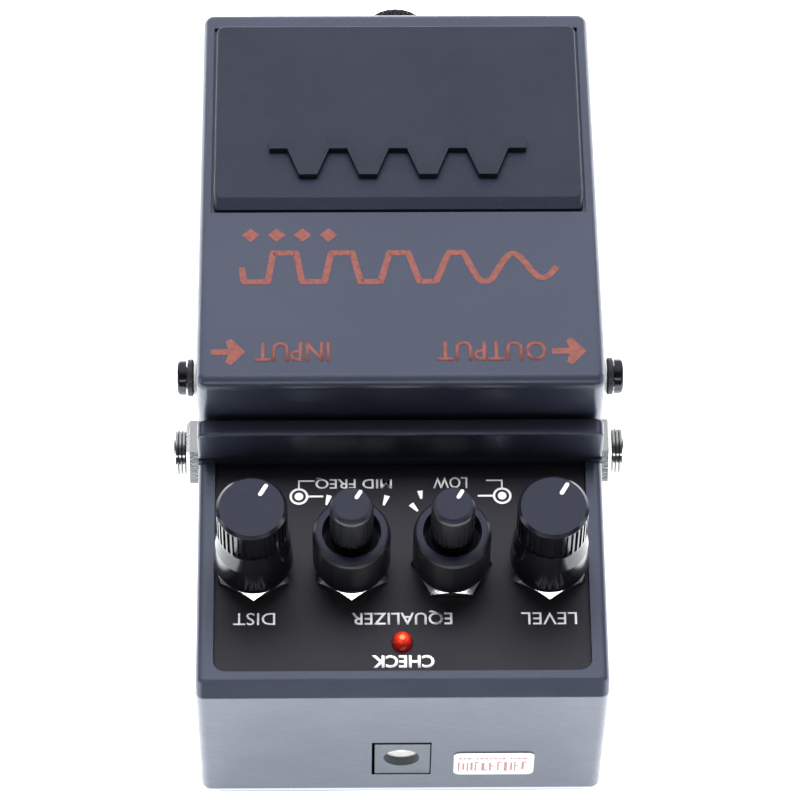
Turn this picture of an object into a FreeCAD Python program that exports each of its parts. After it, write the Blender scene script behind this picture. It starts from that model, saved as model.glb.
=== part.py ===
import FreeCAD, Part

# Compact guitar effects pedal: a die-cast case with a hinged treadle, four controls with six knobs,
# side jacks and a rear power socket.
# Frame: millimetres, +Z up, +X towards the player's right hand (the input side), -Y towards the
# player. The origin is on the ground, in the middle of the pedal's footprint.

import math
import os

import Sketcher

Vector = FreeCAD.Vector
Rotation = FreeCAD.Rotation

doc = FreeCAD.newDocument("EffectsPedal")
sheet = doc.addObject("Spreadsheet::Sheet", "Dimensions")


# ---------------------------------------------------------------- driving dimensions

DIMENSIONS = [
    ("body_width", 66.5, "case and treadle, side to side"),
    ("rear_face", 65.35, "y of the case's rear wall"),
    ("front_face", -62.2, "y of the case's and the treadle's front walls"),
    ("wall", 2.4, "casting wall"),
    ("base_thick", 1.8, "rubber base sheet"),
    ("plate_thick", 1.2, "steel bottom plate"),
    ("deck_top", 37.6, "top of the casting under the control panel"),
    ("deck_thick", 2.2, "casting deck"),
    ("deck_front", -16.4, "y where the deck ends and the battery well begins"),
    ("panel_thick", 0.6, "printed control panel sheet"),
    ("rim_top", 39.4, "top of the rim round the control panel"),
    ("rim_side", 2.8, "width of the rim's side rails"),
    ("rim_rear", 3.5, "width of the rim along the rear"),
    ("hump_rear", 23.0, "y of the raised wall's face towards the knobs"),
    ("hump_front", 20.0, "y of the raised wall's face towards the treadle"),
    ("hump_top", 47.7, "top of the raised wall"),
    ("front_wall_top", 26.0, "top of the case's front wall"),
    ("well_floor", 12.0, "top of the battery well's floor"),
    ("well_floor_thick", 2.2, "battery well floor"),
    ("hinge_y", 13.4, "treadle hinge axis"),
    ("hinge_z", 50.0, "treadle hinge axis"),
    ("treadle_rear", 19.5, "y of the treadle's rear wall"),
    ("treadle_flat_rear", 17.6, "y where the treadle's flat top starts"),
    ("treadle_top_rear", 58.0, "z of the treadle's top at its rear edge"),
    ("treadle_top_front", 46.5, "z of the treadle's top at its front edge"),
    ("skirt_front", 29.6, "z of the treadle's lower edge at the front"),
    ("skirt_rear", 42.0, "z of the treadle's lower edge near the hinge"),
    ("treadle_wall", 2.4, "treadle casting wall"),
    ("ear_thick", 3.4, "hinge ear"),
    ("pad_margin", 2.3, "treadle rim left at the rubber pad's sides"),
    ("pad_margin_front", 4.2, "treadle rim left in front of the rubber pad"),
    ("pad_rear", -16.9, "y of the rubber pad's rear edge"),
    ("pad_rise", 1.2, "rubber pad above the treadle's top"),
    ("pad_recess", 0.8, "recess that holds the rubber pad"),
    ("jack_y", 12.6, "axis of the side jacks"),
    ("jack_z", 24.0, "axis of the side jacks"),
    ("jack_bore", 3.25, "radius of the jack bushing's bore"),
    ("jack_bushing", 4.0, "outer radius of the jack bushing"),
    ("jack_stand", 4.6, "how far a jack bushing stands out of the side"),
    ("knob_row_y", 42.1, "row of control shafts"),
    ("knob_inner_x", 8.1, "offset of the two dual controls"),
    ("knob_outer_x", 24.0, "offset of the two single controls"),
    ("knob_base_z", 39.6, "underside of the knobs"),
    ("knob_tall", 18.4, "height of the tall knobs"),
    ("knob_foot_radius", 6.45, "radius of a knob's foot"),
    ("knob_top_radius", 5.7, "radius of a tall knob's ribbed top"),
    ("ring_tall", 10.2, "height of the outer ring knobs"),
    ("ring_bore", 4.75, "radius of the hole in an outer ring knob"),
    ("inner_radius", 3.5, "radius of the slim inner knobs"),
    ("inner_tall", 19.0, "top of the slim inner knobs above the knobs' underside"),
    ("shaft_radius", 3.0, "control shaft"),
    ("inner_shaft_radius", 2.0, "inner shaft of a dual control"),
    ("lamp_y", 56.2, "check lamp"),
    ("lamp_radius", 1.6, "check lamp lens"),
    ("socket_half_width", 4.9, "half the width of the power socket's opening"),
    ("socket_low", 8.2, "bottom of the power socket's opening"),
    ("socket_high", 20.2, "top of the power socket's opening"),
    ("socket_bore", 2.95, "radius of the power socket's bore"),
    ("board_z", 4.8, "underside of the main circuit board"),
    ("board_thick", 1.6, "circuit boards"),
    ("thumb_z", 37.6, "thumbscrew axis"),
    ("thumb_radius", 5.0, "thumbscrew head"),
    ("thumb_head", 3.0, "thumbscrew head thickness"),
    ("thumb_front", -65.9, "y of the thumbscrew head's outer face"),
    ("thumb_shank", 2.0, "thumbscrew shank radius"),
    ("spring_x", -13.0, "return spring, off the centre line"),
    ("spring_y", -8.0, "return spring and switch, in front of the hinge"),
    ("switch_x", 13.0, "foot switch, off the centre line"),
]


class Size:
    """A length that knows its number and the sheet expression that gives it."""

    def __init__(self, value, text):
        self.value = value
        self.text = text

    def join(self, other, sign, value):
        return Size(value, f"({self.text} {sign} {as_size(other).text})")

    def __add__(self, other):
        return self.join(other, "+", self.value + as_size(other).value)

    def __radd__(self, other):
        return as_size(other) + self

    def __sub__(self, other):
        return self.join(other, "-", self.value - as_size(other).value)

    def __rsub__(self, other):
        return as_size(other) - self

    def __mul__(self, other):
        return self.join(other, "*", self.value * as_size(other).value)

    def __rmul__(self, other):
        return as_size(other) * self

    def __truediv__(self, other):
        return self.join(other, "/", self.value / as_size(other).value)

    def __neg__(self):
        return as_size(0) - self


def as_size(number):
    if isinstance(number, Size):
        return number
    return Size(float(number), f"({float(number):.6g})")


class Sheet:
    """The driving dimensions, each one an attribute."""

    def __init__(self, rows):
        for index, (alias, value, meaning) in enumerate(rows, start=1):
            cell = f"A{index}"
            sheet.set(cell, str(value))
            sheet.setAlias(cell, alias)
            sheet.set(f"B{index}", meaning)
            setattr(self, alias, Size(value, f"Dimensions.{alias}"))


D = Sheet(DIMENSIONS)
doc.recompute()


# ---------------------------------------------------------------- building helpers

TURN = {
    "+z": Rotation(),
    "-z": Rotation(Vector(1, 0, 0), 180),
    "+x": Rotation(Vector(0, 1, 0), 90),
    "-x": Rotation(Vector(0, 1, 0), -90),
    "+y": Rotation(Vector(1, 0, 0), -90),
    "-y": Rotation(Vector(1, 0, 0), 90),
}


def bind(feature, prop, size):
    feature.setExpression(prop, as_size(size).text)


class Piece:
    """One sub-part: a PartDesign body, built feature by feature, with its sizes bound to the sheet."""

    def __init__(self, label, at=(0, 0, 0), turn="+z"):
        self.label = label
        self.body = doc.addObject("PartDesign::Body", label)
        self.body.Label = label
        self.body.Placement = FreeCAD.Placement(Vector(), TURN[turn])
        self.place(self.body, at)
        PIECES.append(self.body)

    def place(self, feature, at):
        for axis, size in zip("xyz", at, strict=True):
            bind(feature, f"Placement.Base.{axis}", size)

    def add(self, kind, tag):
        return self.body.newObject(f"PartDesign::{kind}", f"{self.label}_{tag}")

    def box(self, low, size, cut=False):
        """A block from its low corner."""
        feature = self.add("SubtractiveBox" if cut else "AdditiveBox", "block")
        for prop, value in zip(("Length", "Width", "Height"), size, strict=True):
            bind(feature, prop, value)
        self.place(feature, low)
        return feature

    def block(self, low, high, cut=False):
        """A block between two corners."""
        return self.box(low, [as_size(b) - a for a, b in zip(low, high, strict=True)], cut)

    def rod(self, at, radius, length, turn="+z", cut=False):
        """A cylinder that starts at a point and runs along an axis."""
        feature = self.add("SubtractiveCylinder" if cut else "AdditiveCylinder", "rod")
        bind(feature, "Radius", radius)
        bind(feature, "Height", length)
        feature.Placement = FreeCAD.Placement(Vector(), TURN[turn])
        self.place(feature, at)
        return feature

    def prism(self, at, across_flats, length, spin=0.0):
        """A hexagonal prism, such as a nut, turned about the piece's own Z axis."""
        feature = self.add("AdditivePrism", "hexagon")
        bind(feature, "Circumradius", as_size(across_flats) / math.sqrt(3))
        bind(feature, "Height", length)
        feature.Placement = FreeCAD.Placement(Vector(), Rotation(Vector(0, 0, 1), spin))
        self.place(feature, at)
        return feature

    def plane(self, role):
        return next(f for f in self.body.Origin.OriginFeatures if f.Role == f"{role}_Plane")

    def outline(self, role, points):
        """A closed outline of straight lines, each corner held by two bound distances."""
        sketch = self.body.newObject("Sketcher::SketchObject", f"{self.label}_outline")
        sketch.AttachmentSupport = [(self.plane(role), "")]
        sketch.MapMode = "FlatFace"
        corners = [(as_size(a), as_size(b)) for a, b in points]
        count = len(corners)
        flat = [Vector(a.value, b.value, 0) for a, b in corners]
        for index in range(count):
            sketch.addGeometry(Part.LineSegment(flat[index], flat[(index + 1) % count]), False)
        for index in range(count):
            sketch.addConstraint(Sketcher.Constraint("Coincident", index, 2, (index + 1) % count, 1))
        for index, corner in enumerate(corners):
            for kind, size in zip(("DistanceX", "DistanceY"), corner, strict=True):
                held = Sketcher.Constraint(kind, -1, 1, index, 1, size.value)
                bind(sketch, f"Constraints[{sketch.addConstraint(held)}]", size)
        return sketch

    def pad(self, role, points, length, cut=False, both_ways=True):
        feature = self.add("Pocket" if cut else "Pad", "profile")
        feature.Profile = self.outline(role, points)
        bind(feature, "Length", length)
        feature.SideType = "Symmetric" if both_ways else "One side"
        return feature

    def revolve(self, points, cut=False):
        """A turned shape: the points are (radius, height) round the piece's own Z axis."""
        feature = self.add("Groove" if cut else "Revolution", "turned")
        sketch = self.outline("XZ", points)
        feature.Profile = sketch
        feature.ReferenceAxis = (sketch, ["V_Axis"])
        feature.Angle = 360
        return feature

    def polar(self, feature, count):
        """Repeats a feature round the piece's own Z axis."""
        pattern = self.add("PolarPattern", "ring")
        pattern.Originals = [feature]
        pattern.Axis = (next(f for f in self.body.Origin.OriginFeatures if f.Role == "Z_Axis"), [""])
        pattern.Angle = 360
        pattern.Occurrences = count
        self.body.Tip = pattern
        return pattern

    def edges(self, chosen):
        doc.recompute()
        tip = self.body.Tip
        names = [
            f"Edge{index}"
            for index, edge in enumerate(tip.Shape.Edges, start=1)
            if chosen(edge.BoundBox, edge)
        ]
        if not names:
            raise ValueError(f"{self.label}: no edge to round")
        return (tip, names)

    def fillet(self, radius, chosen):
        base = self.edges(chosen)
        feature = self.add("Fillet", "round")
        feature.Base = base
        bind(feature, "Radius", radius)
        return feature

    def chamfer(self, size, chosen):
        base = self.edges(chosen)
        feature = self.add("Chamfer", "bevel")
        feature.Base = base
        bind(feature, "Size", size)
        return feature


PIECES = []


def near(a, b, reach=0.02):
    return abs(a - as_size(b).value) < reach


def runs_along(axis, at_least=1.0):
    """Edges that are straight along one axis and at least so long."""

    def chosen(box, edge):
        spans = {"x": box.XLength, "y": box.YLength, "z": box.ZLength}
        span = spans.pop(axis)
        return span > at_least and max(spans.values()) < 0.01

    return chosen


# ---------------------------------------------------------------- derived places

half = D.body_width / 2
case_low = D.base_thick + D.plate_thick
slope = (D.treadle_top_rear.value - D.treadle_top_front.value) / (
    D.treadle_flat_rear.value - D.front_face.value
)


def treadle_top_at(y):
    """z of the treadle's sloping top above a given y."""
    return D.treadle_top_rear - (D.treadle_flat_rear - y) * slope


CONTROLS = [
    ("level", -D.knob_outer_x, False),
    ("low_high", -D.knob_inner_x, True),
    ("mid_freq", D.knob_inner_x, True),
    ("dist", D.knob_outer_x, False),
]
SIDES = [("input", 1), ("output", -1)]
HINGE_SIDES = [("right", 1), ("left", -1)]


# ---------------------------------------------------------------- case

def chassis():
    """Die-cast case: deck, rim, raised wall, battery well, hinge ears and bored walls."""
    piece = Piece("chassis")
    wall = D.wall
    side_slope_end = 10.6
    piece.pad(
        "YZ",
        [
            (D.front_face, case_low),
            (D.rear_face, case_low),
            (D.rear_face, D.rim_top),
            (side_slope_end, D.rim_top),
            (D.front_face, D.front_wall_top),
        ],
        D.body_width,
    )
    piece.block(
        (-half, D.hump_front, D.rim_top - 1),
        (half, D.hump_rear, D.hump_top),
    )
    # the rim slopes down to the rear wall; then the upright corners and the raised wall's shoulders
    slope_face = piece.chamfer(REAR_SLOPE_WIDE, lambda box, edge: near(box.ZMin, D.rim_top)
                               and near(box.ZMax, D.rim_top) and box.XLength > 30 and box.YMin > 60)
    slope_face.ChamferType = "Two distances"
    slope_face.FlipDirection = True
    bind(slope_face, "Size2", REAR_SLOPE_TALL)
    piece.fillet(0.45, lambda box, edge: box.XLength > 30 and box.YMin > 60 and box.ZLength < 0.1
                 and box.ZMin > 30)
    piece.fillet(2.2, lambda box, edge: runs_along("z", 10)(box, edge) and box.YMin < -60)
    piece.fillet(1.5, lambda box, edge: runs_along("z", 10)(box, edge) and box.YMin > 60)
    piece.fillet(1.2, lambda box, edge: near(box.ZMax, D.hump_top) and near(box.ZMin, D.hump_top)
                 and box.YLength > 1)
    piece.fillet(0.45, lambda box, edge: near(box.ZMax, D.hump_top) and near(box.ZMin, D.hump_top)
                 and box.XLength > 30)
    # recess for the control panel, rounded in its corners
    recess_low = (-half + D.rim_side, D.hump_rear, D.deck_top)
    recess_high = (half - D.rim_side, D.rear_face - D.rim_rear, D.hump_top)
    piece.block(recess_low, recess_high, cut=True)
    piece.fillet(2.0, lambda box, edge: runs_along("z")(box, edge)
                 and near(box.ZMin, D.deck_top) and box.YMin > 50 and abs(box.XMin) < half.value - 1)
    # thin lip along the raised wall's foot
    piece.block(
        (-half, D.hump_rear - 0.2, D.rim_top - 0.9),
        (half, D.hump_rear + 0.35, D.rim_top + 0.45),
    )
    # hollow under the deck and under the battery well
    inside = half - wall
    under_deck = D.deck_top - D.deck_thick
    piece.block((-inside, D.deck_front + wall, case_low), (inside, D.rear_face - wall, under_deck), cut=True)
    under_well = D.well_floor - D.well_floor_thick
    piece.block((-inside, D.front_face + wall, case_low), (inside, D.deck_front + wall, under_well), cut=True)
    # battery well, open to the top
    piece.block((-inside, D.front_face + wall, D.well_floor), (inside, D.deck_front, D.rim_top), cut=True)
    # the deck in front of the raised wall stays level with the deck under the panel
    piece.block((-inside, D.deck_front, D.deck_top), (inside, D.hump_front, D.rim_top + 1), cut=True)
    # screw pillars in the four corners
    for x in (-1, 1):
        for y, top in ((PILLAR_REAR_Y, under_deck), (PILLAR_FRONT_Y, under_well)):
            at = (PILLAR_X * x, y, case_low)
            piece.rod(at, 3.4, top - case_low)
            piece.rod(at, SCREW_HOLE, 6.6, cut=True)
    # hinge ears lean back from the deck to the hinge axis
    for side in (-1, 1):
        hinge_ear(piece, side)
    # tongue behind the treadle's front wall, with the window for the guide bush
    piece.block(
        (-TONGUE_HALF, TONGUE_FRONT, D.well_floor - 0.5),
        (TONGUE_HALF, TONGUE_FRONT + TONGUE_THICK, TONGUE_TOP),
    )
    piece.block(
        (-BUSH_HALF, TONGUE_FRONT - 1, BUSH_LOW),
        (BUSH_HALF, TONGUE_FRONT + TONGUE_THICK + 1, BUSH_HIGH),
        cut=True,
    )
    # openings: jacks, power socket, control bushings, lamp, switch plunger, battery leads
    for _, side in SIDES:
        start = (half + 1 if side > 0 else -half - 1, D.jack_y, D.jack_z)
        piece.rod(start, D.jack_bushing + 0.1, D.wall + 2, turn="-x" if side > 0 else "+x", cut=True)
    piece.block(
        (-D.socket_half_width, D.rear_face - wall - 1, D.socket_low),
        (D.socket_half_width, D.rear_face + 1, D.socket_high),
        cut=True,
    )
    for _, x, _ in CONTROLS:
        piece.rod((x, D.knob_row_y, under_deck - 1), BUSHING_RADIUS + 0.1, D.deck_thick + 2, cut=True)
    piece.rod((0, D.lamp_y, under_deck - 1), D.lamp_radius + 0.1, D.deck_thick + 2, cut=True)
    piece.rod((D.switch_x, D.spring_y, under_deck - 1), PLUNGER_RADIUS + 0.15, D.deck_thick + 2, cut=True)
    piece.box((LEADS_X - 2, D.deck_front - 1, LEADS_Z - 2), (6, wall + 2, 4), cut=True)


REAR_SLOPE_WIDE = 1.9
REAR_SLOPE_TALL = 2.8
PILLAR_X = as_size(27.2)
PILLAR_REAR_Y = as_size(59.2)
PILLAR_FRONT_Y = as_size(-55.8)
SCREW_HOLE = 1.5
TONGUE_HALF = as_size(8.0)
TONGUE_FRONT = as_size(-53.0)
TONGUE_THICK = as_size(3.0)
TONGUE_TOP = as_size(41.2)
BUSH_HALF = as_size(4.4)
BUSH_LOW = as_size(31.6)
BUSH_HIGH = as_size(40.6)
BUSHING_RADIUS = 3.5
PLUNGER_RADIUS = 3.0
LEADS_X = as_size(22.0)
LEADS_Z = as_size(20.0)
EAR_RADIUS = 3.3


def hinge_ear(piece, side):
    """A leaning gusset with a round eye at the hinge axis."""
    outer = half - D.treadle_wall - 0.45
    low_x = outer - D.ear_thick if side > 0 else -outer
    foot_z = D.deck_top - 0.5
    sketch_points = [
        (D.hinge_y - 15, foot_z),
        (D.hinge_y - 5, foot_z),
        (D.hinge_y + EAR_RADIUS * 0.7071, D.hinge_z - EAR_RADIUS * 0.7071),
        (D.hinge_y, D.hinge_z),
        (D.hinge_y - EAR_RADIUS, D.hinge_z),
    ]
    gusset = piece.pad("YZ", sketch_points, D.ear_thick, both_ways=False)
    bind(gusset.Profile[0], "AttachmentOffset.Base.z", low_x)
    piece.rod((low_x, D.hinge_y, D.hinge_z), EAR_RADIUS, D.ear_thick, turn="+x")
    piece.rod((low_x - 1, D.hinge_y, D.hinge_z), HINGE_SHANK, D.ear_thick + 2, turn="+x", cut=True)


HINGE_SHANK = 1.75


def control_panel():
    piece = Piece("control_panel")
    gap = 0.15
    piece.block(
        (-half + D.rim_side + gap, D.hump_rear + gap, D.deck_top),
        (half - D.rim_side - gap, D.rear_face - D.rim_rear - gap, D.deck_top + D.panel_thick),
    )
    piece.fillet(1.9, lambda box, edge: runs_along("z", 0.3)(box, edge) and box.YMin > 50)
    for _, x, _ in CONTROLS:
        piece.rod((x, D.knob_row_y, D.deck_top - 1), BUSHING_RADIUS + 0.2, 3, cut=True)
    piece.rod((0, D.lamp_y, D.deck_top - 1), D.lamp_radius + 0.2, 3, cut=True)


def bottom_plate():
    piece = Piece("bottom_plate")
    inset = 0.15
    piece.block(
        (-half + inset, D.front_face + inset, D.base_thick),
        (half - inset, D.rear_face - inset, case_low),
    )
    piece.fillet(2.0, runs_along("z", 0.5))
    for x in (-1, 1):
        for y in (PILLAR_REAR_Y, PILLAR_FRONT_Y):
            piece.rod((PILLAR_X * x, y, 0), SCREW_HOLE + 0.1, 5, cut=True)


def rubber_base():
    """Grooved rubber sheet that the pedal stands on."""
    piece = Piece("rubber_base")
    inset = 0.9
    piece.block(
        (-half + inset, D.front_face + inset, 0),
        (half - inset, D.rear_face - inset, D.base_thick),
    )
    piece.fillet(2.4, runs_along("z", 0.5))
    for x in (-1, 1):
        for y in (PILLAR_REAR_Y, PILLAR_FRONT_Y):
            piece.rod((PILLAR_X * x, y, -1), SCREW_HEAD + 0.4, 5, cut=True)
    groove_pitch = 7.5
    for step in range(-7, 8):
        piece.box((-half, as_size(step * groove_pitch + 1.2), -0.4), (D.body_width, 1.4, 1.0), cut=True)


SCREW_HEAD = 2.8


def base_screws():
    """Four countersunk-pan screws that hold the bottom plate: one node, four solids."""
    screws = []
    for x in (-1, 1):
        for name_y, y in (("rear", PILLAR_REAR_Y), ("front", PILLAR_FRONT_Y)):
            side = "right" if x > 0 else "left"
            screw = Piece(f"base_screw_{name_y}_{side}", at=(PILLAR_X * x, y, 0))
            screw.rod((0, 0, 0.35), SCREW_HEAD, D.base_thick - 0.35)
            screw.rod((0, 0, D.base_thick), SCREW_HOLE - 0.06, 6.0)
            screw.box((-2.2, -0.35, 0), (4.4, 0.7, 0.95), cut=True)
            screw.box((-0.35, -2.2, 0), (0.7, 4.4, 0.95), cut=True)
            screws.append(screw.body)
    group("base_screws", screws)


def group(label, bodies):
    """Identical small pieces written to one file as separate solids."""
    for body in bodies:
        PIECES.remove(body)
    compound = doc.addObject("Part::Compound", label)
    compound.Label = label
    compound.Links = bodies
    PIECES.append(compound)


# ---------------------------------------------------------------- treadle

def treadle():
    """Cast lid with a sloping top, a skirt, a recess for the rubber pad and a thumbscrew boss."""
    piece = Piece("treadle")
    wall = D.treadle_wall
    rear_lip = D.hinge_z - 4.2
    piece.pad(
        "YZ",
        [
            (D.treadle_rear, rear_lip),
            (D.treadle_rear, D.treadle_top_rear + 0.3),
            (D.front_face, D.treadle_top_front),
            (D.front_face, D.skirt_front),
            (D.treadle_rear - 3.8, D.skirt_rear),
        ],
        D.body_width,
    )
    piece.fillet(1.9, lambda box, edge: runs_along("z", 8)(box, edge))
    piece.fillet(1.9, lambda box, edge: box.ZMax > D.treadle_top_front.value - 0.1
                 and box.ZMin > D.treadle_top_front.value - 0.1
                 and (box.XLength > 40 or box.YLength > 40) and box.ZLength < 14)
    # hollow: follows the outside at the wall's thickness
    hollow_top = D.treadle_top_front - wall
    piece.pad(
        "YZ",
        [
            (D.treadle_rear - wall, rear_lip - 8),
            (D.treadle_rear - wall, D.treadle_top_rear - wall),
            (D.front_face + wall, hollow_top),
            (D.front_face + wall, D.skirt_front - 4),
        ],
        D.body_width - 2 * wall,
        cut=True,
    )
    # recess for the rubber pad, cut square to the sloping top
    pad_shape(piece, D.pad_recess, D.pad_recess + 3, 0.35, cut=True)
    # boss behind the front wall, a round pocket for the thumbscrew's head and its shank hole
    piece.rod((0, D.front_face + 1, D.thumb_z), 6.9, BOSS_BACK - D.front_face - 1, turn="+y")
    piece.rod((0, D.front_face - 1, D.thumb_z), D.thumb_radius + 0.6, POCKET + 1, turn="+y", cut=True)
    piece.rod((0, D.front_face, D.thumb_z), D.thumb_shank + 0.12, 9, turn="+y", cut=True)
    # holes for the hinge bushes
    for side in (-1, 1):
        start = (half + 1 if side > 0 else -half - 1, D.hinge_y, D.hinge_z)
        piece.rod(start, BUSH_RADIUS + 0.05, wall + 2, turn="-x" if side > 0 else "+x", cut=True)
    # posts that take the spring seat and the switch actuator
    under = treadle_top_at(D.spring_y) - wall
    for x in (D.spring_x, D.switch_x):
        piece.rod((x, D.spring_y, under - 1.2), 4.6, 3.0)


POCKET = 2.6
BOSS_BACK = as_size(-57.7)
BUSH_RADIUS = 2.45


def pad_shape(piece, depth, thickness, gap, cut=False):
    """A slab that lies along the treadle's sloping top, between the pad's margins."""
    angle = math.degrees(math.atan(slope))
    feature = piece.add("SubtractiveBox" if cut else "AdditiveBox", "slab")
    length = (D.pad_rear - D.front_face - D.pad_margin_front) / math.cos(math.radians(angle))
    bind(feature, "Length", D.body_width - 2 * D.pad_margin + 2 * gap)
    bind(feature, "Width", length + 2 * gap)
    bind(feature, "Height", thickness)
    feature.Placement = FreeCAD.Placement(Vector(), Rotation(Vector(1, 0, 0), angle))
    front = D.front_face + D.pad_margin_front - gap
    piece.place(feature, (-half + D.pad_margin - gap, front, treadle_top_at(front) - depth))
    return feature


def treadle_rubber_pad():
    """Rubber foot pad with rounded corners and a bevelled edge."""
    piece = Piece("treadle_rubber_pad")
    pad_shape(piece, D.pad_recess - 0.05, D.pad_recess + D.pad_rise, -0.1)
    rear_bevel = piece.chamfer(PAD_BEVEL_WIDE, lambda box, edge: box.XLength > 20
                               and box.ZMin > treadle_top_at(as_size(box.YMin)).value + 0.5
                               and box.YMin > D.pad_rear.value - 3)
    rear_bevel.ChamferType = "Two distances"
    rear_bevel.FlipDirection = True
    bind(rear_bevel, "Size2", PAD_BEVEL_TALL)
    piece.fillet(1.4, lambda box, edge: box.XLength < 0.01 and 0.3 < box.ZLength < 3
                 and box.YLength < 1 and box.YMin < -50)
    piece.fillet(1.2, lambda box, edge: box.XLength < 0.01 and box.ZLength > 0.3
                 and box.YMin > D.pad_rear.value - 3)
    piece.fillet(0.6, lambda box, edge: (box.XLength > 0.5 or box.YLength > 20)
                 and box.ZMin > treadle_top_at(as_size(box.YMin)).value + 0.5
                 and box.YMin < D.pad_rear.value - 10)


def pad_emblem():
    """Raised generic emblem on the pad: a flat-topped wave that stands a little above the rubber."""
    piece = Piece("pad_emblem")
    wave = [(-EMBLEM_HALF, -EMBLEM_TALL / 2)]
    step = 2 * EMBLEM_HALF / EMBLEM_FLATS
    for index in range(EMBLEM_FLATS):
        level = EMBLEM_TALL / 2 * (1 if index % 2 else -1)
        start = -EMBLEM_HALF + step * index
        wave.append((start + 0.2 * step, level))
        wave.append((start + 0.8 * step, level))
    wave = wave[1:]
    band = EMBLEM_BAND / 2
    outline = [(x, y + band) for x, y in wave] + [(x, y - band) for x, y in reversed(wave)]
    feature = piece.pad("XY", outline, EMBLEM_RISE, both_ways=False)
    sketch = feature.Profile[0]
    angle = math.degrees(math.atan(slope))
    sketch.AttachmentOffset = FreeCAD.Placement(Vector(), Rotation(Vector(1, 0, 0), angle))
    bind(sketch, "AttachmentOffset.Base.y", EMBLEM_Y)
    pad_top = (D.pad_recess + D.pad_rise) / math.cos(math.radians(angle)) - (D.pad_recess - 0.05)
    bind(sketch, "AttachmentOffset.Base.z", treadle_top_at(EMBLEM_Y) + pad_top)


PAD_BEVEL_WIDE = 1.9
PAD_BEVEL_TALL = 1.0
EMBLEM_HALF = 22.6
EMBLEM_TALL = 5.8
EMBLEM_FLATS = 9
EMBLEM_BAND = 2.6
EMBLEM_Y = as_size(-27.4)
EMBLEM_RISE = 1.1


def hinge_parts():
    """Flanged bush, spacer and shoulder screw on each side; each kind is one node."""
    inner = half - D.treadle_wall - 0.35
    ear_in = half - D.treadle_wall - 0.45 - D.ear_thick
    bushes, spacers, screws = [], [], []
    for name, side in HINGE_SIDES:
        turn = "+x" if side > 0 else "-x"
        at = (0, D.hinge_y, D.hinge_z)
        bush = Piece(f"hinge_bush_{name}", at=at, turn=turn)
        bush.rod((0, 0, inner), BUSH_RADIUS, half - inner + 0.2)
        bush.rod((0, 0, half + 0.1), 2.8, 0.35)
        bush.rod((0, 0, inner - 1), HINGE_SHANK + 0.05, 6, cut=True)
        bushes.append(bush.body)
        spacer = Piece(f"hinge_spacer_{name}", at=at, turn=turn)
        spacer.rod((0, 0, half + 0.55), 3.05, 1.0)
        spacer.fillet(0.25, lambda box, edge: box.ZLength < 0.01)
        spacer.rod((0, 0, half), HINGE_SHANK + 0.02, 3, cut=True)
        spacers.append(spacer.body)
        screw = Piece(f"hinge_screw_{name}", at=at, turn=turn)
        screw.rod((0, 0, half + 1.75), 2.85, 1.45)
        screw.fillet(0.55, lambda box, edge: near(box.ZMin, half + 3.2) and near(box.ZMax, half + 3.2))
        screw.rod((0, 0, ear_in), HINGE_SHANK, half + 1.8 - ear_in)
        screw.box((-1.9, -0.4, half + 2.6), (3.8, 0.8, 1.0), cut=True)
        screws.append(screw.body)
    group("hinge_bushes", bushes)
    group("hinge_spacers", spacers)
    group("hinge_screws", screws)


def thumbscrew():
    """Knurled head, shank and the clip behind the treadle's boss."""
    head = Piece("thumbscrew", at=(0, D.thumb_front, D.thumb_z), turn="+y")
    head.rod((0, 0, 0), D.thumb_radius, D.thumb_head)
    head.chamfer(0.4, lambda box, edge: box.ZLength < 0.01 and box.XLength > 9)
    head.box((-2.4, -0.5, -1), (4.8, 1.0, 1.9), cut=True)
    head.rod((0, 0, D.thumb_head), D.thumb_shank, THUMB_TIP - D.thumb_front - D.thumb_head)
    head.revolve(
        [
            (CLIP_NECK, CLIP_Y - D.thumb_front - 0.05),
            (D.thumb_shank + 0.5, CLIP_Y - D.thumb_front - 0.05),
            (D.thumb_shank + 0.5, CLIP_Y - D.thumb_front + CLIP_THICK + 0.05),
            (CLIP_NECK, CLIP_Y - D.thumb_front + CLIP_THICK + 0.05),
        ],
        cut=True,
    )
    flute = head.rod((D.thumb_radius + 0.25, 0, -1), 0.55, D.thumb_head + 2, cut=True)
    head.polar(flute, 24)
    clip = Piece("thumbscrew_clip", at=(0, CLIP_Y, D.thumb_z), turn="+y")
    clip.rod((0, 0, 0), 3.4, CLIP_THICK)
    clip.rod((0, 0, -1), CLIP_NECK + 0.06, 4, cut=True)


CLIP_NECK = 1.5
CLIP_THICK = 0.7
CLIP_Y = BOSS_BACK + 0.1
THUMB_TIP = TONGUE_FRONT - 0.4


def guide_bush():
    """Nylon insert in the case's tongue: a tall slot for the thumbscrew's tip."""
    piece = Piece("thumbscrew_guide_bush")
    gap = 0.03
    piece.block(
        (-BUSH_HALF + gap, TONGUE_FRONT, BUSH_LOW + gap),
        (BUSH_HALF - gap, TONGUE_FRONT + TONGUE_THICK, BUSH_HIGH - gap),
    )
    piece.block(
        (-D.thumb_shank - 0.2, TONGUE_FRONT - 1, D.thumb_z - 5.4),
        (D.thumb_shank + 0.2, TONGUE_FRONT + TONGUE_THICK + 1, D.thumb_z + 2.25),
        cut=True,
    )


# ---------------------------------------------------------------- spring and switch

SPRING_RADIUS = 4.4
SPRING_WIRE = 0.6


def spring_seat():
    """Nylon seat under the treadle with a spigot inside the spring."""
    top = treadle_top_at(D.spring_y) - D.treadle_wall - 1.2
    piece = Piece("spring_seat", at=(D.spring_x, D.spring_y, 0))
    piece.rod((0, 0, top - 1.2), 5.4, 1.2)
    piece.rod((0, 0, top - 4.2), 3.0, 3.2)


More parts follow.
